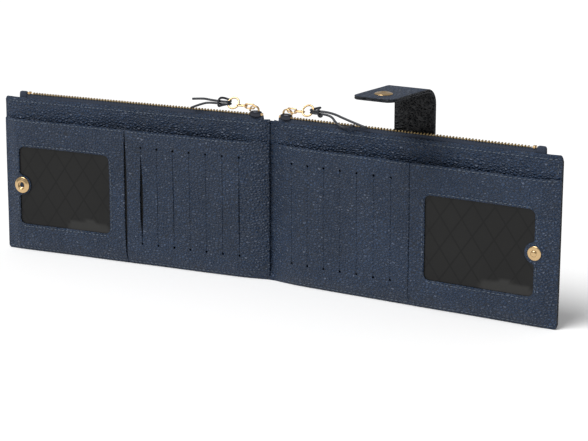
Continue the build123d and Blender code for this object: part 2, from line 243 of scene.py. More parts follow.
def leatherFinish(name, paintedGrooveShade, top, cell, rough, bump):
    # split cowhide with a pressed pebble grain and a satin top coat: soft creases darkened in colour as
    # painted shade, small bright crowns
    made, tree, shader = newFinish(name, {"IOR": 1.42})
    at, edge = grainOf(tree, cell, (1.0, 1.0, 1.35))
    height = ramp(tree, edge, 0.0, 0.5, smooth=True)
    grooveShadeFade = ramp(tree, edge, 0.0, 0.14, smooth=True)
    fine = noiseOf(tree, at, 2200.0)
    patch = ramp(tree, noiseOf(tree, at, 28.0, 3.0), 0.35, 0.65, 0.88, 1.12)
    # the narrow band along each cell edge takes the darker first colour: painted shade in the creases between
    # the pebbles
    tint = mixOf(tree, grooveShadeFade, paintedGrooveShade, top)
    tint = vectorOf(tree, "SCALE", {}, {0: tint, "Scale": patch})
    tree.links.new(mixOf(tree, markOf(tree, "rim"), tint, "#10151d"), shader.inputs["Base Color"])
    mixed = mathOf(tree, "MULTIPLY_ADD", {1: 0.08}, {0: fine, 2: height})
    reliefOf(tree, shader, mixed, bump, 0.6 * cell * mm)
    tree.links.new(ramp(tree, height, toLow=rough + 0.18, toHigh=rough), shader.inputs["Roughness"])
    return made


def wovenFinish(name, dark, light, pitch, rough, sheen):
    # polyester twill: fine diagonal ribs; drawn coarser than real thread so that it shows
    made, tree, shader = newFinish(name, {"Roughness": rough, "Sheen Weight": sheen})
    ribs = bandsOf(tree, coordsOf(tree), 0.75, pitch, 0.6, 1.0)
    tree.links.new(mixOf(tree, ribs, dark, light), shader.inputs["Base Color"])
    reliefOf(tree, shader, ribs, 0.5, 0.15 * pitch * mm)
    return made


def lozenges(tree, at):
    # woven lozenge pattern: two sets of thin slanted lines, a little darker than the ground
    lines = [ramp(tree, bandsOf(tree, at, turn, 11), 0.965, 0.995, smooth=True) for turn in (0.62, -0.62)]
    lattice = mathOf(tree, "MAXIMUM", {}, {0: lines[0], 1: lines[1]})
    cloudy = noiseOf(tree, at, 38.0)
    ground = mixOf(tree, cloudy, "#0b0b0b", "#171716")
    return mixOf(tree, lattice, ground, "#070707"), cloudy


def liningFinish():
    # near-black polyester satin jacquard: soft broad sheen, faint dark lozenges
    made, tree, shader = newFinish("lining_satin_jacquard", {"Roughness": 0.55, "Sheen Weight": 0.1})
    tint, cloudy = lozenges(tree, coordsOf(tree))
    tree.links.new(tint, shader.inputs["Base Color"])
    reliefOf(tree, shader, cloudy, 0.3, 0.6 * mm)
    return made


def filmFinish():
    # soft PVC film that clings to the black satin, drawn opaque as one surface with it:
    # the satin's pattern under a satin gloss, and a paler patch where the film lifts, which is a painted
    # reflection
    made, tree, shader = newFinish("film_clear_pvc_on_satin", {"Roughness": 0.42, "IOR": 1.34})
    at = coordsOf(tree)
    tint = lozenges(tree, at)[0]
    # the lifted patch turns towards pale grey: painted reflection off the lifted film
    tree.links.new(mixOf(tree, markOf(tree, "paintedLiftSheen"), tint, "#2e2e2d"), shader.inputs["Base Color"])
    reliefOf(tree, shader, noiseOf(tree, at, 60.0), 0.5, 0.6 * mm)
    return made


def metalFinish(name, base, rough, wear):
    # polished or plated metal (light gold, brass drawn darker as a painted dark reflection, or black nickel):
    # a soft mirror with faint tumbling marks
    made, tree, shader = newFinish(name, {"Base Color": colour(base), "Metallic": 1.0})
    marks = noiseOf(tree, coordsOf(tree), 900.0, 3.0)
    tree.links.new(ramp(tree, marks, toLow=rough - 0.06, toHigh=rough + wear), shader.inputs["Roughness"])
    reliefOf(tree, shader, marks, 0.15, 0.08 * mm)
    return made


def threadFinish():
    # bonded polyester thread: mottled strands and a dull shine
    made, tree, shader = newFinish("thread_bonded_polyester", {"Roughness": 0.5})
    strand = noiseOf(tree, coordsOf(tree), 1500.0)
    tree.links.new(mixOf(tree, strand, "#39434f", "#6a7582"), shader.inputs["Base Color"])
    return made


def laceFinish():
    # waxed round leather lace: smooth, near-black navy with slight scuffs
    made, tree, shader = newFinish("lace_waxed_leather", {"Roughness": 0.42})
    scuff = noiseOf(tree, coordsOf(tree), 700.0, 3.0)
    tree.links.new(mixOf(tree, scuff, "#0a0d13", "#171d29"), shader.inputs["Base Color"])
    reliefOf(tree, shader, scuff, 0.3, 0.06 * mm)
    return made


finishes = {
    # the first colour of each leather is the painted shade in its creases, the second its own colour
    "leather": leatherFinish("leather_navy_pebbled_cowhide", "#101925", "#293a53", 2.1, 0.34, 1.0),
    # the strap's inner face: black leather drawn darker still, as painted shade under the strap's arch
    "strapFacePaintedShade": leatherFinish("leather_black_facing_painted_shade", "#020306", "#06090f", 2.4, 0.36, 1.0),
    "lining": liningFinish(),
    "leaf": wovenFinish("lining_black_nylon_taffeta", "#08090b", "#0f1013", 0.8, 0.8, 0.0),
    "film": filmFinish(),
    "tape": wovenFinish("tape_navy_polyester_twill", "#111926", "#263348", 0.8, 0.8, 0.1),
    "gold": metalFinish("gold_plated_zinc_polished", "#cfb083", 0.2, 0.1),
    # the teeth's brass is drawn darker and duller than the gold: painted dark reflection
    "teethPaintedDark": metalFinish("zip_teeth_brass_painted_dark_reflection", "#9c8863", 0.3, 0.1),
    "enamel": metalFinish("slider_black_nickel_plated", "#3b3d44", 0.28, 0.1),
    "thread": threadFinish(),
    "lace": laceFinish(),
}
for side in sides:
    lacePieces[side].data.materials.append(finishes["lace"])
print("finishes done")


# mesh helpers
def gridFaces(rows, cols, wrapRows=False, wrapCols=False):
    # quads of a grid of rows by cols points; a wrapped direction joins its last line to its first
    i = np.arange(rows if wrapRows else rows - 1)[:, None]
    j = np.arange(cols if wrapCols else cols - 1)[None, :]
    i2, j2 = (i + 1) % rows, (j + 1) % cols
    return np.stack((i * cols + j, i * cols + j2, i2 * cols + j2, i2 * cols + j), -1).reshape(-1, 4)


def newPiece(name, points, faces, finish, slot, marks=None, weld=1e-6, turn=True):
    # one smooth mesh from points and faces; doubles merged and faces turned outwards unless told not to
    mesh = bpy.data.meshes.new(name)
    faces = faces if isinstance(faces, list) else faces.tolist()
    mesh.from_pydata(np.asarray(points).reshape(-1, 3).tolist(), [], faces)
    for key, values in (marks or {}).items():
        values = np.asarray(values, np.float32).ravel()
        mesh.attributes.new(key, "FLOAT", "POINT").data.foreach_set("value", values)
    shape = bmesh.new()
    shape.from_mesh(mesh)
    if weld:
        bmesh.ops.remove_doubles(shape, verts=shape.verts, dist=weld)
        bmesh.ops.dissolve_degenerate(shape, edges=shape.edges, dist=weld / 2)
    if turn:
        bmesh.ops.recalc_face_normals(shape, faces=shape.faces)
    shape.to_mesh(mesh)
    shape.free()
    mesh.polygons.foreach_set("use_smooth", np.ones(len(mesh.polygons), bool))
    mesh.materials.append(finishes[finish])
    mesh.update()
    piece = addObject(name, mesh)
    return piece


edgeSteps = np.array([0, 0.06, 0.2, 0.45])


def spread(low, high, pitch):
    # even steps from low to high with close ones at both ends for a round edge
    last = edgeSteps[3]
    count = max(2, int(round((high - low - 2 * last) / pitch)) + 1)
    middle = np.linspace(low + last, high - last, count)
    return np.concatenate((low + edgeSteps[:3], middle, high - edgeSteps[2::-1]))


def insideOf(out, up, low, high):
    # distance inside a rectangle between two corners (out, up)
    return np.minimum(np.minimum(up - low[1], high[1] - up), np.minimum(out - low[0], high[0] - out))


def sheetGrid(low, high, pitchOut, pitchUp):
    # grid over a rectangle between two corners (out, up), with each point's distance inside it
    up = spread(low[1], high[1], pitchUp)[:, None]
    out = spread(low[0], high[0], pitchOut)[None, :] + 0 * up
    up = up + 0 * out
    return out, up, insideOf(out, up, low, high)


def slab(mapping, across, up, front, thick, edge):
    # two faces of a sheet that meet in a round edge:
    # at distance d from the edge each lies r - sqrt(r^2 - (r - d)^2) inside the full thickness
    edge = np.maximum(edge, 0)
    r = thick / 2
    inset = r - np.sqrt(np.maximum(r ** 2 - (r - np.minimum(edge, r)) ** 2, 0))
    points = np.stack((mapping(across, front + inset, up), mapping(across, front + thick - inset, up)))
    rows, cols = across.shape
    faces = gridFaces(rows, cols)
    return points.reshape(-1, 3), np.concatenate((faces, faces[:, ::-1] + rows * cols))


def joinParts(parts):
    # parts are (points, faces) pairs
    start, points, faces = 0, [], []
    for p, f in parts:
        points.append(p)
        faces.append(f + start)
        start += len(p)
    return np.concatenate(points), np.concatenate(faces)


def onHalf(side):
    return lambda out, deep, up: place(side, out, deep, up)


# how the leather lies
lie = {"foldReach": 24.0, "foldBack": 5.2, "endStart": 176.0, "botStart": 9.0, "panelEdge": 3.2,
       "panelFront": -2, "wallFront": 3.0, "wallFold": 3.2, "wallEdge": 1.1, "shellFront": 7.2,
       "shellEdge": 2.2, "leather": 0.9, "shell": 1.2, "cloth": 0.15, "leaf": 0.08}


def edgeOf(out, up):
    # 0 inside, 1 at the sewn outer end and foot, where the layers are pressed together
    e = step(out, lie["endStart"], purse["length"])
    b = np.clip((lie["botStart"] - np.asarray(up, float)) / lie["botStart"], 0, 1) ** 2
    return 1 - (1 - e) * (1 - b)


def waveOf(out, up):
    # slow hand-sized unevenness of padded leather, mm
    wave = 0.2 * np.sin(out / 23 + 1.3) * np.sin(up / 29 + 0.4) + 0.1 * np.sin(out / 9.7 + up / 13)
    return wave * np.clip(out / 20, 0, 1)


def panelDeep(out, up):
    # front of the card panel: back towards the fold and the sewn edge, padded forward higher up
    fold = np.clip((lie["foldReach"] - out) / (lie["foldReach"] - 1), 0, 1) ** 2
    belly = 0.9 * np.sin(np.pi * np.clip(out / 150, 0, 1)) ** 2 * step(up, 45, 86)
    sewn = lie["panelEdge"] * (1 - fold) * edgeOf(out, up)
    deep = lie["foldBack"] * fold + sewn + waveOf(out, up) - belly * (1 - fold)
    return np.maximum(deep, lie["panelFront"])


def wallDeep(out, up):
    fold = np.clip((13 - out) / 12, 0, 1) ** 2
    # behind the card panel the wall sinks back, so that the pocket stands a little open
    lean = 1.5 * np.sin(np.pi * np.clip((out - 8) / 165, 0, 1)) ** 0.7 * (1 - step(up, 84, 96))
    sewn = lie["wallEdge"] * (1 - fold) * edgeOf(out, up)
    plain = lie["wallFront"] + lie["wallFold"] * fold + sewn + 0.4 * waveOf(out, up)
    return plain + lean * (1 - edgeOf(out, up))


def shellDeep(out, up):
    out = np.abs(out)
    return lie["shellFront"] - lie["shellEdge"] * edgeOf(out, up) + 0.4 * waveOf(out * 0.8 + 20, up)


def cornerTrim(up, top):
    # how far a round corner of 2 mm draws the end in, at the foot and at the top
    r = purse["corner"]
    near = np.minimum(up, top - up)
    return np.where(near < r, r - np.sqrt(np.maximum(r ** 2 - (r - near) ** 2, 0)), 0)


# card panels
cards = {"count": 7, "first": 18.3, "pitch": 11.2, "low": 14.2, "high": 75.4, "hole": 0.68, "mouth": 97.0,
         "right": {"gape": [0.02, 0.0, 0.0, 0.02, 0.0, 0.0, 0.02], "mouthGape": 0.06, "shift": -1.8},
         "left": {"gape": [0.22, 0.03, 0.0, 0.02, 0.12, 0.03, 0.95], "mouthGape": 0.95, "shift": 0.8}}


def slitsOf(side):
    return cards["first"] + cards[side]["shift"] + cards["pitch"] * np.arange(cards["count"])


def lensOf(up, gape):
    t = np.clip((up - cards["low"]) / (cards["high"] - cards["low"]), 0, 1)
    return np.where((t > 0) & (t < 1), 0.02 + gape * np.sin(np.pi * t ** 0.85) ** 1.6, 0)


def mouthMid(side):
    return cards["mouth"] + cards[side]["shift"] * 0.8


def slitHalf(up, gape):
    # half width of a slit: a long lens with a round punched hole at each end
    ends = (cards["low"], cards["high"])
    holes = [np.sqrt(np.maximum(cards["hole"] ** 2 - (up - z) ** 2, 0)) for z in ends]
    return np.maximum(lensOf(up, gape), np.maximum(*holes))


def slitDistance(out, up, middle, gape):
    # a punched or knife-cut lip is far sharper than a turned edge, so distances count two and four times
    holes = [np.hypot(out - middle, up - z) - cards["hole"] for z in (cards["low"], cards["high"])]
    run = np.where((up > cards["low"]) & (up < cards["high"]), np.abs(out - middle) - lensOf(up, gape), 99)
    return np.maximum(np.minimum(np.minimum(*holes) * 2, run * 4), 0)


def mouthEdge(side, up, sign):
    # the identity pocket opens between the two panels from foot to top edge
    t = np.clip(up / purse["panel"], 0, 1)
    return mouthMid(side) + sign * (0.05 + cards[side]["mouthGape"] * np.sin(np.pi * t) ** 0.8)


def holeRows(z):
    return z + cards["hole"] * np.array([-1.4, -1, -0.92, -0.7, -0.35, 0, 0.35, 0.7, 0.92, 1, 1.4])


rowsUp = np.concatenate((spread(0, purse["panel"], 2.0), holeRows(cards["low"]), holeRows(cards["high"])))
rowsUp = np.unique(np.round(rowsUp, 4))
for side in sides:
    gapes, slits = cards[side]["gape"], slitsOf(side)
    parts = []
    up = rowsUp[:, None]
    for s in range(cards["count"] + 1):
        low = 1.0 + 0 * up if s == 0 else slits[s - 1] + slitHalf(up, gapes[s - 1])
        high = mouthEdge(side, up, -1) if s == cards["count"] else slits[s] - slitHalf(up, gapes[s])
        wide = slits[0] - 1 if s == 0 else cards["pitch"]
        share = spread(0, wide, 1.5)[None, :] / wide
        out = low + (high - low) * share
        z = up + 0 * out
        edge = np.minimum(z, purse["panel"] - z)
        lift = 0 * out
        for i in (s - 1, s):
            if 0 <= i < cards["count"]:
                edge = np.minimum(edge, slitDistance(out, z, slits[i], gapes[i]))
                if i == s - 1:  # the outer lip, under which a card goes, stands a little proud
                    near = np.clip(1 - (out - slits[i]) / 5, 0, 1) ** 2
                    lift += (0.06 + 0.8 * gapes[i]) * lensOf(z, 1) * near
        if s == 0:
            edge = np.minimum(edge, out - 1.0)
        if s == cards["count"]:
            edge = np.minimum(edge, mouthEdge(side, z, -1) - out)
            near = np.clip(1 - (high - out) / 9, 0, 1) ** 2
            lift += 0.35 * cards[side]["mouthGape"] * np.sin(np.pi * z / purse["panel"]) * near
        parts.append(slab(onHalf(side), out, z, panelDeep(out, z) - lift, lie["leather"], edge))
    points, faces = joinParts(parts)
    piece = newPiece(side + "_card_front", points, faces, "leather", "leather")
    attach(piece, side + "_half")
    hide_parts(side + "_card_panel")
print("card panels done")


# window panels
window = {"low": 17.8, "high": 68.0, "round": 3.5, "snapUp": 43.2, "tongue": 6.2, "fillet": 2.0,
          "right": {"in": 105.4, "out": 173.4, "snap": 173.6},
          "left": {"in": 109.6, "out": 175.4, "snap": 173.6}}
windowMid = np.array([141.0, (window["low"] + window["high"]) / 2])


def arcOf(mid, r, a0, a1, n):
    a = np.radians(np.linspace(a0, a1, n))
    return np.stack((mid[0] + r * np.cos(a), mid[1] + r * np.sin(a)), -1)


def runOf(a, b, pitch):
    n = max(2, int(math.dist(a, b) / pitch))
    return np.array(a) + (np.array(b) - np.array(a)) * np.linspace(0, 1, n + 1)[1:-1, None]


def windowOutline(side):
    # round-cornered opening with a tongue of leather left standing for the snap
    i, o, l, h, r = window[side]["in"], window[side]["out"], window["low"], window["high"], window["round"]
    f, t = window["fillet"], window["tongue"]
    snapAt = (window[side]["snap"], window["snapUp"])
    rise = math.sqrt((t + f) ** 2 - (snapAt[0] - o + f) ** 2)
    bend = math.degrees(math.atan2(rise, o - f - snapAt[0]))
    top, low = (o - f, snapAt[1] + rise), (o - f, snapAt[1] - rise)
    return np.concatenate((
        arcOf(top, f, bend - 180, 0, 7), runOf((o, top[1]), (o, h - r), 2.5),
        arcOf((o - r, h - r), r, 0, 90, 8), runOf((o - r, h), (i + r, h), 2.5),
        arcOf((i + r, h - r), r, 90, 180, 8), runOf((i, h - r), (i, l + r), 2.5),
        arcOf((i + r, l + r), r, 180, 270, 8), runOf((i + r, l), (o - r, l), 2.5),
        arcOf((o - r, l + r), r, 270, 360, 8), runOf((o, l + r), (o, low[1]), 2.5),
        arcOf(low, f, 0, 180 - bend, 7), arcOf(snapAt, t, -bend, -360 + bend, 25)[1:-1]))


def frameOutline(side):
    r, top, end = purse["corner"], purse["panel"], purse["length"]
    inner = np.linspace(top - 0.2, 0.2, 42)
    return np.concatenate((
        runOf((end, r), (end, top - 0.5), 2.5), arcOf((end - 0.5, top - 0.5), 0.5, 0, 90, 4),
        runOf((end - 0.5, top), (mouthEdge(side, top, 1) + 0.3, top), 2.5),
        np.stack((mouthEdge(side, inner, 1), inner), -1),
        runOf((mouthEdge(side, 0, 1) + 0.3, 0), (end - r, 0), 2.5), arcOf((end - r, r), r, 270, 360, 6)))


def polar(outline):
    away = outline - windowMid
    angle = np.mod(np.arctan2(away[:, 1], away[:, 0]), 2 * np.pi)
    order = np.argsort(angle)
    return angle[order], np.hypot(away[:, 0], away[:, 1])[order]


def windowPoints(side, share, angles):
    # radius between the two outlines at each angle about the middle of the window
    inA, inR = polar(windowOutline(side))
    outA, outR = polar(frameOutline(side))
    near = np.interp(angles, inA, inR, period=2 * np.pi)
    far = np.interp(angles, outA, outR, period=2 * np.pi)
    radius = near + (far - near) * share
    return windowMid[0] + radius * np.cos(angles), windowMid[1] + radius * np.sin(angles), (far - near)


for side in sides:
    angles = np.concatenate((polar(windowOutline(side))[0], polar(frameOutline(side))[0]))
    angles = np.unique(np.round(angles, 3))
    share = (spread(0, 10, 1.3) / 10)[:, None]
    out, up, width = windowPoints(side, share, np.append(angles, angles[0] + 2 * np.pi)[None, :])
    edge = np.minimum(share, 1 - share) * width
    deep = panelDeep(out, up) + 0.12 * np.exp(-share * width / 1.5)
    points, faces = slab(onHalf(side), out, up, deep, lie["leather"], edge)
    piece = newPiece(side + "_window_surround", points, faces, "leather", "leather")
    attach(piece, side + "_half")
    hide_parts(side + "_window_frame")
print("window panels done")


def rectangle(name, side, low, high, deep, thick, finish, slotName, pitch=(3, 3), marks=None, trim=None):
    # upright sheet between two corners (out, up), its depth given by a function
    up = spread(low[1], high[1], pitch[1])[:, None]
    end = high[0] - (cornerTrim(up, trim) if trim else 0 * up)
    wide = high[0] - low[0]
    out = low[0] + (end - low[0]) * spread(0, wide, pitch[0])[None, :] / wide
    z = up + 0 * out
    edge = insideOf(out, z, low, (end, high[1]))
    points, faces = slab(onHalf(side), out, z, deep(out, z), thick, edge)
    both = {k: np.tile(f(out, z).ravel(), 2) for k, f in (marks or {}).items()}
    piece = newPiece(name, points, faces, finish, slotName, both)
    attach(piece, side + "_half")
    return piece


def rimMark(out, up):
    # 1 along the painted cut edge at the outer end
    return 1 - step(purse["length"] - out, 0.15, 0.4)


def paintedLiftSheenMark(side):
    # a wavy patch along one lower corner where the film has lifted off the satin; it is drawn paler as a
    # painted reflection
    near, far = (138, 176) if side == "right" else (108, 143)

    def mark(out, up):
        t = np.clip((out - near) / (far - near), 0, 1)
        top = 19.5 + 5.5 * np.sin(np.pi * t) ** 0.7 + 0.8 * np.sin(t * 17)
        return 0.8 * step(top - up, -0.3, 1.2) * step(out, near, near + 5) * (1 - step(out, far - 5, far))
    return mark


def hemDeep(out, up):
    # the wall with a soft bead along its hem
    return wallDeep(out, up) - 0.2 * np.exp(-((up - 97.7) / 0.7) ** 2)


def filmDeep(out, up):
    # behind the card panel, a little forward in the middle of the window
    rise = 0.25 * np.clip(1 - ((out - 141) / 33) ** 2, 0, 1) * np.clip(1 - ((up - 43) / 24) ** 2, 0, 1)
    return panelDeep(out, up) + 0.95 - rise


def clothDeep(out, up):
    # slow ripples behind the film, kept in front of the wall
    rippled = panelDeep(out, up) + 1.35 + 0.12 * np.sin(out / 5.5 + up / 7)
    return np.minimum(rippled, wallDeep(out, up) - 0.7)


for side in sides:
    wall = rectangle(side + "_zip_front", side, (1.0, 0.0), (purse["length"], purse["hem"]), hemDeep,
                     lie["leather"], "leather", "leather", (2.2, 1.6), {"rim": rimMark}, purse["hem"])
    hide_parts(side + "_zip_wall")
    film = rectangle(side + "_window_sheet", side, (102, 12), (180, 74), filmDeep,
                     lie["cloth"], "film", "film", (2, 2), {"paintedLiftSheen": paintedLiftSheenMark(side)})
    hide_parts(side + "_window_film")
    cloth = rectangle(side + "_window_cloth", side, (98.5, 3), (180, 84), clothDeep,
                      lie["cloth"], "lining", "lining", (2.5, 2.5))
    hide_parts(side + "_window_lining")
    backing = rectangle(side + "_card_cloth", side, (15, 4), (180, 83.5), lambda o, z: wallDeep(o, z) - 0.3,
                        lie["cloth"], "lining", "lining", (6, 6))
    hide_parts(side + "_card_backing")
    parts = []
    for i, u in enumerate(slitsOf(side)):
        out, z, edge = sheetGrid((u - 3, 10.5), (min(u + 87, 174), 80), 6, 6)
        share = (cards["count"] - 1 - i) / 7
        start = panelDeep(out, z) + 1.3
        deep = start + 0.15 + (wallDeep(out, z) - 0.5 - start) * share * 0.9
        parts.append(slab(onHalf(side), out, z, deep, lie["leaf"], edge))
    points, faces = joinParts(parts)
    leaves = newPiece(side + "_card_leaves", points, faces, "leaf", "lining")
    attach(leaves, side + "_half")
    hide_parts(side + "_card_pockets")
    parts = []
    for front in (lambda o, z: wallDeep(o, z) + 0.95, lambda o, z: shellDeep(o, z) - 0.25):
        out, z, edge = sheetGrid((7, 4), (179, 89.5), 8, 6)
        parts.append(slab(onHalf(side), out, z, front(out, z), lie["cloth"], edge))
    points, faces = joinParts(parts)
    bag = newPiece(side + "_zip_lining", points, faces, "lining", "lining")
    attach(bag, side + "_half")
    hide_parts(side + "_zip_bag")
print("walls, films and linings done")


# outer leather, one piece round the spine
spine = {"half": 12.0, "fineShare": 0.075}


def shellPoint(out, deep, up):
    # straight on each half; across the spine a curve (1-t)^2 a + 2t(1-t) m + t^2 b between the two ends
    out, deep, up = np.broadcast_arrays(out, deep, up)
    reach = np.abs(out)
    flat = np.where((out > 0)[..., None], place("right", reach, deep, up), place("left", reach, deep, up))
    h = spine["half"]
    right, left = place("right", h, deep, up), place("left", h, deep, up)
    crossing = (deep + purse["halfGap"]) / math.cos(math.radians(purse["turn"])) + foldPoint[1] / mm
    middle = np.stack((0 * deep, crossing, up), -1) * mm
    t = np.clip((out + h) / (2 * h), 0, 1)[..., None]
    curve = (1 - t) ** 2 * left + 2 * t * (1 - t) * middle + t ** 2 * right
    return np.where((reach < h)[..., None], curve, flat)


up = spread(0, purse["height"], 2.2)[:, None]
end = purse["length"] - cornerTrim(up, purse["height"])
# closer points across the spine and at both ends
near = spine["fineShare"]
across = np.concatenate((np.linspace(-1, -near, 70)[:-1], np.linspace(-near, near, 21),
                         np.linspace(near, 1, 70)[1:]))
across = np.unique(np.concatenate((across, [-0.9999, -0.999, -0.9975, 0.9975, 0.999, 0.9999])))
out = end * across[None, :]
z = up + 0 * out
edge = np.minimum(np.minimum(z, purse["height"] - z), end - np.abs(out))
points, faces = slab(shellPoint, out, z, shellDeep(out, z), lie["shell"], edge)
rim = np.tile((1 - step(purse["length"] - np.abs(out), 0.15, 0.5)).ravel(), 2)
shell = newPiece("outer_leather", points, faces, "leather", "leather", {"rim": rim})
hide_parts("right_outer_shell", "left_outer_shell", "spine_leather")
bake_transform(shell)
print("outer leather done")


# stitches
stitch = {"long": 1.8, "pitch": 2.8, "thick": 0.42, "slant": 0.12, "sunk": 0.02,
          "gap": 1.35, "snapGap": 7.5}


def stitchShape():
    # a short arched thread: a round section carried along, thin at both ends where it dives into the leather
    t = np.linspace(0, 1, 6)[:, None]
    a = np.linspace(0, 2 * np.pi, 7)[:-1][None, :]
    r = stitch["thick"] / 2 * np.sin(np.pi * (0.08 + 0.84 * t)) ** 0.5
    along = (t - 0.5) * stitch["long"] + 0 * a
    return along, r * np.cos(a) - 0.08 * np.sin(np.pi * t), r * np.sin(a)


def stitchRun(side, rows, deep, sign=1):
    # rows are (start, end) in (out, up); each stitch lies on the surface, slanted a little
    along, depth, sideways = stitchShape()
    parts = []
    for (u0, z0), (u1, z1) in rows:
        run = math.hypot(u1 - u0, z1 - z0)
        d = ((u1 - u0) / run, (z1 - z0) / run)
        count = int(run / stitch["pitch"])
        mids = (np.arange(count) + 0.5) * run / count
        s = sideways + stitch["slant"] * along
        out = u0 + d[0] * (mids[:, None, None] + along) - d[1] * s
        up = z0 + d[1] * (mids[:, None, None] + along) + d[0] * s
        w = deep(out, up) + sign * (depth - stitch["sunk"])
        pts = place(side, out, w, up).reshape(-1, 3)
        one = gridFaces(along.shape[0], 6, wrapCols=True)
        many = (one[None] + (np.arange(count) * along.size)[:, None, None]).reshape(-1, 4)
        parts.append((pts, many))
    return joinParts(parts)


def panelRows(side):
    # along the head and the foot of both panels, and round the window with a gap at the snap's tongue
    i, o, l, h = window[side]["in"], window[side]["out"], window["low"], window["high"]
    split, gap = mouthMid(side), stitch["gap"]
    under, over = window["snapUp"] - stitch["snapGap"], window["snapUp"] + stitch["snapGap"]
    rows = [((a, z), (b, z)) for z in (84.7, 1.9) for a, b in ((12, split - 1.5), (split + 1.5, 185))]
    return rows + [((i + 2, l - gap), (o - 2, l - gap)), ((i + 2, h + gap), (o - 2, h + gap)),
                   ((i - gap, l + 2), (i - gap, h - 2)), ((o + gap, l + 2), (o + gap, under)),
                   ((o + gap, over), (o + gap, h - 2))]


wallRows = [((7, 96.8), (184.5, 96.8)), ((184.6, 87.5), (184.6, 95.5))]
backRows = [((14, 96.3), (184.5, 96.3)), ((14, 2.4), (184.5, 2.4)), ((184.6, 3.5), (184.6, 95.5))]
for side in sides:
    front = stitchRun(side, panelRows(side), panelDeep)
    hem = stitchRun(side, wallRows, lambda o, z: wallDeep(o, z) - 0.1)
    back = stitchRun(side, backRows, lambda o, z: shellDeep(o, z) + lie["shell"], -1)
    points, faces = joinParts([front, hem, back])
    piece = newPiece(side + "_seam_stitches", points, faces, "thread", "thread", weld=0)
    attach(piece, side + "_half")
    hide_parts(side + "_stitching")
print("stitches done")


# zips
zipper = {"mid": 5.55, "in": 5.0, "out": 171.0, "low": 90.0, "bend": 98.0, "top": 101.5, "lean": 0.95,
          "thick": 0.4, "teethIn": 12.0, "teeth": 78, "pitch": 2.0, "long": 0.85, "wide": 2.1, "high": 1.5,
          "base": 101.4, "apart": 0.35, "backShare": 0.45}


def tapeDeep(out, up):
    # front face of the front tape: behind the wall where it is sewn, leaning to the teeth above the hem
    lean = zipper["lean"] * step(up, zipper["bend"], zipper["top"])
    bead = 0.12 * np.exp(-((up - zipper["top"] + 0.35) / 0.3) ** 2)
    free = 4.05 + lean - bead + 0.07 * np.sin(out / 11) * step(up, 97, 101)
    sewn = wallDeep(out, np.minimum(up, 97)) + 0.92 - 2 * step(up, 98.3, 99.5)
    return np.maximum(free, sewn)


def soft(value, power):
    # a cosine or sine drawn towards 1, which squares a round section
    return np.sign(value) * np.abs(value) ** power


def roundBox(size, power, rows, cols):
    # superellipsoid: a box with round edges
    a = np.linspace(-np.pi / 2, np.pi / 2, rows)[:, None]
    b = np.linspace(0, 2 * np.pi, cols + 1)[:-1][None, :]
    wide = soft(np.cos(a), power)
    return (size[0] / 2 * wide * soft(np.cos(b), power), size[1] / 2 * wide * soft(np.sin(b), power),
            size[2] / 2 * soft(np.sin(a), power) + 0 * b)


def manyBoxes(side, mids, size, power, rows, cols):
    mids, box = np.asarray(mids, float), roundBox(size, power, rows, cols)
    out, deep, up = [mids[:, k, None, None] + box[k] for k in range(3)]
    one = gridFaces(rows, cols, wrapCols=True)
    many = (one[None] + (np.arange(len(mids)) * rows * cols)[:, None, None]).reshape(-1, 4)
    return place(side, out, deep, up).reshape(-1, 3), many


for side in sides:
    for name, sign in (("front", 1), ("back", -1)):
        out, z, edge = sheetGrid((zipper["in"], zipper["low"]), (zipper["out"], zipper["top"]), 3, 0.6)
        deep = tapeDeep(out, z) if sign > 0 else 2 * zipper["mid"] - tapeDeep(out, z) - zipper["thick"]
        points, faces = slab(onHalf(side), out, z, deep, zipper["thick"], edge)
        tape = newPiece(f"{side}_zip_tape_{name}_woven", points, faces, "tape", "tape")
        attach(tape, side + "_half")
        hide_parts(f"{side}_zip_tape_{name}")
        n = np.arange(zipper["teeth"])
        shift = 0 if sign > 0 else zipper["pitch"] / 2
        # the back row is lower, so that the front row's heads show one by one
        high = zipper["high"] * (1 if sign > 0 else zipper["backShare"])
        out = zipper["teethIn"] + shift + n * zipper["pitch"]
        deep, up = zipper["mid"] - sign * zipper["apart"], zipper["base"] - 0.1 + high / 2
        mids = np.stack((out, deep + 0 * n, up + 0 * n), -1)
        points, faces = manyBoxes(side, mids, (zipper["long"], zipper["wide"], high), 0.6, 5, 8)
        row = newPiece(f"{side}_zip_teeth_{name}_row", points, faces, "teethPaintedDark", "gold")
        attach(row, side + "_half")
        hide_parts(f"{side}_zip_teeth_{name}")
    stops = joinParts([manyBoxes(side, [(169.5, zipper["mid"], 102.15)], (1.9, 3.0, 1.6), 0.4, 8, 12),
                       manyBoxes(side, [(6.0, zipper["mid"], 102.1)], (1.4, 2.2, 1.5), 0.4, 8, 12)])
    piece = newPiece(side + "_zip_stop_pair", *stops, "gold", "gold")
    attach(piece, side + "_half")
    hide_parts(side + "_zip_stops")
    # folded tape end: a soft box standing at the outer end
    box = manyBoxes(side, [(173.8, zipper["mid"], 97.4)], (5.6, 2.6, 11.4), 0.35, 14, 20)
    tab = newPiece(side + "_zip_tab", *box, "tape", "tape")
    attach(tab, side + "_half")
    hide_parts(side + "_zip_end_tab")
print("zips done")


# sliders and pulls
pull = {"sliderMid": 10.0, "barOut": 12.0, "barUp": 106.4, "wire": 0.95, "linkLong": 6.4, "linkWide": 2.6,
        "ring": 3.5, "ringWire": 1.15, "ringOut": 24.88, "ringUp": 107.5, "ringTilt": 35}


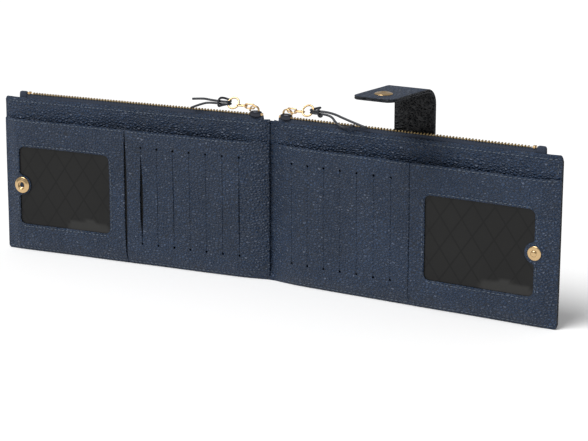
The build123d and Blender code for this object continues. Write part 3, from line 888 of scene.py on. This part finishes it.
def sweptTube(path, radius, closed, sides=10):
    # round section carried along a path that lies in one plane
    path = np.asarray(path, float)
    if closed:
        tangent = np.roll(path, -1, 0) - np.roll(path, 1, 0)
    else:
        tangent = np.gradient(path, axis=0)
    tangent /= np.linalg.norm(tangent, axis=1)[:, None]
    normal = np.linalg.svd(path - path.mean(0))[2][2]
    one = np.cross(tangent, normal)
    one /= np.linalg.norm(one, axis=1)[:, None]
    two = np.cross(tangent, one)
    a = np.linspace(0, 2 * np.pi, sides + 1)[:-1]
    spokes = np.cos(a)[None, :, None] * one[:, None] + np.sin(a)[None, :, None] * two[:, None]
    points = path[:, None] + radius * spokes
    faces = gridFaces(len(path), sides, wrapRows=closed, wrapCols=True)
    if not closed:
        ends = np.stack((path[0], path[-1]))
        i, count = np.arange(sides), len(path) * sides
        after, last = np.roll(i, -1), count - sides
        first = np.stack((np.full(sides, count), after, i, i), -1)
        final = np.stack((np.full(sides, count + 1), last + i, last + after, last + after), -1)
        return np.concatenate((points.reshape(-1, 3), ends)), np.concatenate((faces, first, final))
    return points.reshape(-1, 3), faces


def cleanFaces(faces):
    # quads with a repeated corner become triangles
    return [list(dict.fromkeys(f)) for f in np.asarray(faces).tolist()]


def stadium(near, upright):
    # link of round wire seen from the side: two straights and two half circles
    half, r = (pull["linkLong"] - pull["linkWide"]) / 2, pull["linkWide"] / 2
    a = np.radians(np.linspace(-90, 90, 12))
    x = np.concatenate((half + r * np.cos(a), -half - r * np.cos(a)))
    y = np.concatenate((r * np.sin(a), -r * np.sin(a)))
    x = x + near + pull["linkLong"] / 2
    flat = np.zeros_like(x)
    if upright:
        return np.stack((x, zipper["mid"] + flat, pull["barUp"] + y), -1)
    return np.stack((x, zipper["mid"] + y, pull["barUp"] + flat), -1)


def sliderBody():
    # profile carried along the zip: a round-shouldered box, wider and higher in the middle
    t = np.linspace(-1, 1, 17)[:, None]
    a = np.linspace(0, 2 * np.pi, 25)[:-1][None, :]
    fit = (1 - np.abs(t) ** 6) ** 0.5
    wide = 2.4 * (0.86 + 0.14 * np.cos(np.pi * t)) * np.maximum(fit, 0.02)
    high = 1.85 * np.maximum(fit, 0.02) * (0.94 + 0.06 * np.cos(np.pi * t))
    c, s = soft(np.cos(a), 0.45), soft(np.sin(a), 0.45)
    return pull["sliderMid"] + 4.0 * t + 0 * a, zipper["mid"] + wide * c, 102.25 + high * s


def sliderBridge():
    # flat strip arched over the body, which holds the first link
    t = np.linspace(0, 1, 19)[:, None]
    a = np.linspace(0, 2 * np.pi, 13)[:-1][None, :]
    c, s = soft(np.cos(a), 0.5), soft(np.sin(a), 0.5)
    turn = np.pi * t
    out = 10.9 - 2.9 * np.cos(turn)
    up = 103.7 + 3.15 * np.sin(turn) ** 0.7
    nOut, nUp = -np.cos(turn), np.sin(turn)
    return out + 0.42 * c * nOut, zipper["mid"] + 0.85 * s + 0 * out, up + 0.42 * c * nUp


def gridPiece(side, grid):
    out, deep, up = np.broadcast_arrays(*grid)
    pts = place(side, out, deep, up).reshape(-1, 3)
    rows, cols = out.shape
    faces = gridFaces(rows, cols, wrapCols=True).tolist()
    return pts, faces + [list(range(cols))[::-1], list(range((rows - 1) * cols, rows * cols))]


for side in sides:
    body = newPiece(side + "_slider_body", *gridPiece(side, sliderBody()), "enamel", "tape", weld=0)
    bridge = newPiece(side + "_slider_bridge", *gridPiece(side, sliderBridge()), "gold", "gold", weld=0)
    for made in (body, bridge):
        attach(made, side + "_slider")
    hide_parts(side + "_zip_slider")
    near = pull["barOut"] - 0.45 - pull["wire"] / 2 - 0.3
    far = near + pull["linkLong"] - pull["wire"] - 0.3
    for name, start, upright in (("link_a", near, True), ("link_b", far, False)):
        path = stadium(start, upright)
        pts, faces = sweptTube(path, pull["wire"] / 2, True)
        link = newPiece(f"{side}_{name}_wire", place(side, *pts.T), faces, "gold", "gold")
        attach(link, f"{side}_{name}")
        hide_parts(f"{side}_pull_{name}")
    a = np.linspace(0, 2 * np.pi, 49)[:-1]
    tilt, rise = math.radians(pull["ringTilt"]), pull["ring"] * np.sin(a)
    path = np.stack((pull["ringOut"] + pull["ring"] * np.cos(a), zipper["mid"] + rise * math.sin(tilt),
                     pull["ringUp"] + rise * math.cos(tilt)), -1)
    pts, faces = sweptTube(path, pull["ringWire"] / 2, True, 14)
    ring = newPiece(side + "_ring_wire", place(side, *pts.T), faces, "gold", "gold")
    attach(ring, side + "_ring")
    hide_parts(side + "_pull_ring")
print("sliders and pulls done")


# snaps
def lathe(profile, turns=48):
    # profile of (radius, height) spun about the height axis; a zero radius closes the pole
    profile = np.asarray(profile, float)
    a = np.linspace(0, 2 * np.pi, turns + 1)[:-1]
    r, h = profile[:, 0, None], profile[:, 1, None]
    return r * np.cos(a), r * np.sin(a), h + 0 * a


def snapPiece(name, side, body, centre, facing, profile, node):
    # facing: "front" stands out of the inside face, "back" out of the back, "up" or "down" on the strap
    x, y, h = lathe(profile)
    turned = {"front": (x, -h, y), "back": (x, h, y), "up": (x, y, h), "down": (x, y, -h)}[facing]
    pts = place(side, *(middle + part for middle, part in zip(centre, turned)))
    piece = newPiece(name, pts, gridFaces(*x.shape, wrapCols=True), "gold", "gold", weld=2e-6)
    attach(piece, body)
    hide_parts(node)


# depth of the card panel's face at the tongues, where the inside snaps stand
tongueOut = 174.5
faceDeep = float(panelDeep(np.array(tongueOut), np.array(window["snapUp"])))
socketProfile = [(0, -0.4), (1.2, -0.4), (1.6, -0.3), (1.75, 0.1), (2.1, 0.15), (2.3, 0.5), (2.35, 1.0),
                 (2.6, 1.25), (3.1, 1.3), (3.6, 1.15), (4.3, 0.75), (4.8, 0.6), (5.1, 0.5), (5.25, 0.3),
                 (5.2, 0.05), (5.0, -0.1), (0, -0.1)]
studProfile = [(0, 2.2), (0.8, 2.18), (1.4, 2.05), (1.75, 1.75), (1.8, 1.4), (1.5, 1.05), (1.45, 0.75),
               (1.8, 0.55), (2.4, 0.5), (3.2, 0.48), (3.75, 0.4), (4.05, 0.25), (4.1, 0.08),
               (3.9, -0.1), (0, -0.1)]
insideStud = [(r, h * 0.75) for r, h in studProfile]
closureStud = [(r, h * 0.65) for r, h in studProfile]
for side, kind, profile in (("left", "socket", socketProfile), ("right", "stud", insideStud)):
    centre = (window[side]["snap"], faceDeep, window["snapUp"])
    snapPiece(f"{side}_inside_{kind}", side, side + "_half", centre, "front", profile, side + "_inside_snap")
# the stud stands where the strap's snap comes to lie when the wallet is shut and the strap is folded over
closure = {"out": 93.5, "foldUp": 104.8, "reach": 34.0}
closureUp = closure["foldUp"] - closure["reach"]
closureDeep = float(shellDeep(closure["out"], closureUp)) + lie["shell"]
snapPiece("closure_stud_back_face", "left", "left_half", (closure["out"], closureDeep, closureUp), "back",
          closureStud, "closure_stud")
# spring of the socket: an open ring of round wire just inside the rim
a = np.radians(np.linspace(20, 320, 30))
springRound = 2.14
path = np.stack((window["left"]["snap"] + springRound * np.cos(a), faceDeep - 0.75 + 0 * a,
                 window["snapUp"] + springRound * np.sin(a)), -1)
pts, faces = sweptTube(path, 0.28, False, 8)
spring = newPiece("left_socket_spring", place("left", *pts.T), cleanFaces(faces),
                  "gold", "gold", weld=0, turn=False)
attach(spring, "left_half")
for name in ("right_inside_snap_back", "left_inside_snap_back", "closure_stud_back"):
    looks = frame["nodes"][name].data.materials
    looks.clear()
    looks.append(finishes["gold"])
print("snaps done")


# strap
strap = {"mid": 93.5, "half": 13.0, "low": 76.0, "deep": 9.4, "legTop": 118.4, "top": 127.8, "archDeep": 9.4,
         "tip": -38.0, "corner": 5.5, "skew": 2.6, "layer": 1.0, "snapDeep": -24.6}
legLong = strap["legTop"] - strap["low"]
archHigh = strap["top"] - strap["legTop"]


def strapLine():
    # side view of the middle line: straight leg, quarter arch squarer than an ellipse, straight run
    leg = np.stack((np.full(30, strap["deep"]), np.linspace(strap["low"], strap["legTop"], 30)), -1)
    a = np.radians(np.linspace(0, 90, 41))[1:]
    n = 2 / 2.15
    start = strap["deep"] - strap["archDeep"]
    arch = np.stack((start + strap["archDeep"] * np.cos(a) ** n,
                     strap["legTop"] + archHigh * np.sin(a) ** n), -1)
    w = np.linspace(start, strap["tip"], 34)[1:]
    run = np.stack((w, strap["top"] + 0 * w), -1)
    line = np.concatenate((leg, arch, run))
    length = np.concatenate(([0], np.cumsum(np.hypot(*np.diff(line, axis=0).T))))
    return line, length


strapPath, strapRun = strapLine()
strapLong = strapRun[-1]


def strapAt(along):
    return np.interp(along, strapRun, strapPath[:, 0]), np.interp(along, strapRun, strapPath[:, 1])


def strapPoint(along, height, across):
    # along the middle line, height outwards from it, across the width; the tip drifts a little to the fold
    along, height, across = np.broadcast_arrays(along, height, across)
    w, z = strapAt(along)
    (w1, z1), (w0, z0) = strapAt(along + 0.6), strapAt(along - 0.6)
    tw, tz = w1 - w0, z1 - z0
    size = np.hypot(tw, tz)
    out = strap["mid"] + across - strap["skew"] * step(along, legLong, strapLong)
    return place("right", out, w + height * tz / size, z - height * tw / size)


def strapLayer(name, low, finish, nodes):
    tip = strap["corner"] * (1 - np.cos(np.linspace(0, np.pi / 2, 9)))
    along = np.unique(np.concatenate((spread(0, strapLong, 1.5), strapLong - tip)))[:, None]
    left = strapLong - along
    r = strap["corner"]
    half = strap["half"] - np.where(left < r, r - np.sqrt(np.maximum(r ** 2 - (r - left) ** 2, 0)), 0)
    across = half * (spread(0, 2 * strap["half"], 1.6)[None, :] / strap["half"] - 1)
    a = along + 0 * across
    edge = np.minimum(np.minimum(a, strapLong - a), half - np.abs(across))
    points, faces = slab(strapPoint, a, across, low, strap["layer"], edge)
    rim = np.tile((1 - step(edge, 0.1, 0.45)).ravel(), 2)
    piece = newPiece(name, points, faces, finish, "leather", {"rim": rim})
    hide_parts(*nodes)
    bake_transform(piece)


strapLayer("strap_outer_leather", 0.0, "leather", ["strap_outer", "strap_base"])
# the inner layer is drawn near-black: black leather with painted shade from the arch above it
strapLayer("strap_inner_leather", -1.0, "strapFacePaintedShade", ["strap_inner"])
snapOutAt = strap["mid"] - strap["skew"] * 0.85
capProfile = [(0, 0.55), (1.2, 0.55), (1.7, 0.6), (2.2, 0.95), (2.9, 1.05), (3.8, 0.9), (4.7, 0.6),
              (5.15, 0.35), (5.3, 0.15), (5.15, -0.05), (0, -0.05)]
flatSocket = [(r, h * 0.8) for r, h in socketProfile]
# cap on the strap's upper face, socket on its lower face
for name, height, facing, profile in (("cap", 128.8, "up", capProfile),
                                      ("socket", 126.8, "down", flatSocket)):
    centre = (snapOutAt, strap["snapDeep"], height)
    snapPiece("strap_" + name, "right", "strap", centre, facing, profile, "strap_snap_" + name)
# rectangle of stitches through the strap's root
near, far, foot, head = 82.5, 104.5, 78, 96
rows = [((near, foot), (far, foot)), ((near, head), (far, head)),
        ((near, foot + 1), (near, head - 1)), ((far, foot + 1), (far, head - 1))]
points, faces = stitchRun("right", rows, lambda o, z: 10.4 + 0 * o, -1)
piece = newPiece("strap_base_stitches", points, faces, "thread", "thread", weld=0)
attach(piece, "right_half")
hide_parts("strap_stitching")
print("strap done")


# studio
studio = {"sun": 2.75, "sunAngle": 38.0, "sunTurn": (35.0, 0.0, -30.0), "sky": 0.42, "backdrop": 1.1}
scene = bpy.context.scene
scene.view_settings.view_transform = "Standard"
floorMesh = bpy.data.meshes.new("floor")
floorMesh.from_pydata([(-20, -20, 0), (20, -20, 0), (20, 20, 0), (-20, 20, 0)], [], [(0, 1, 2, 3)])
floor = addObject("floor", floorMesh)
# matte white paper, a touch under full white so that soft shadows still show
paper = newFinish("paper_white_matte", {"Base Color": (0.965, 0.965, 0.965, 1), "Roughness": 0.9})[0]
floorMesh.materials.append(paper)
lamp = bpy.data.lights.new("softbox", "SUN")
lamp.energy, lamp.angle = studio["sun"], math.radians(studio["sunAngle"])
holder = addObject("softbox", lamp)
holder.rotation_euler = [math.radians(v) for v in studio["sunTurn"]]
# white backdrop for the eye, weaker light for the object, so that its gloss keeps some contrast
world = bpy.data.worlds.new("studio")
world.use_nodes = True
tree = world.node_tree
seen = addNode(tree, "ShaderNodeLightPath").outputs["Is Camera Ray"]
strength = ramp(tree, seen, toLow=studio["sky"], toHigh=studio["backdrop"])
glow = tree.nodes["Background"]
glow.inputs["Color"].default_value = (1, 1, 1, 1)
tree.links.new(strength, glow.inputs["Strength"])
scene.world = world
print("studio done")
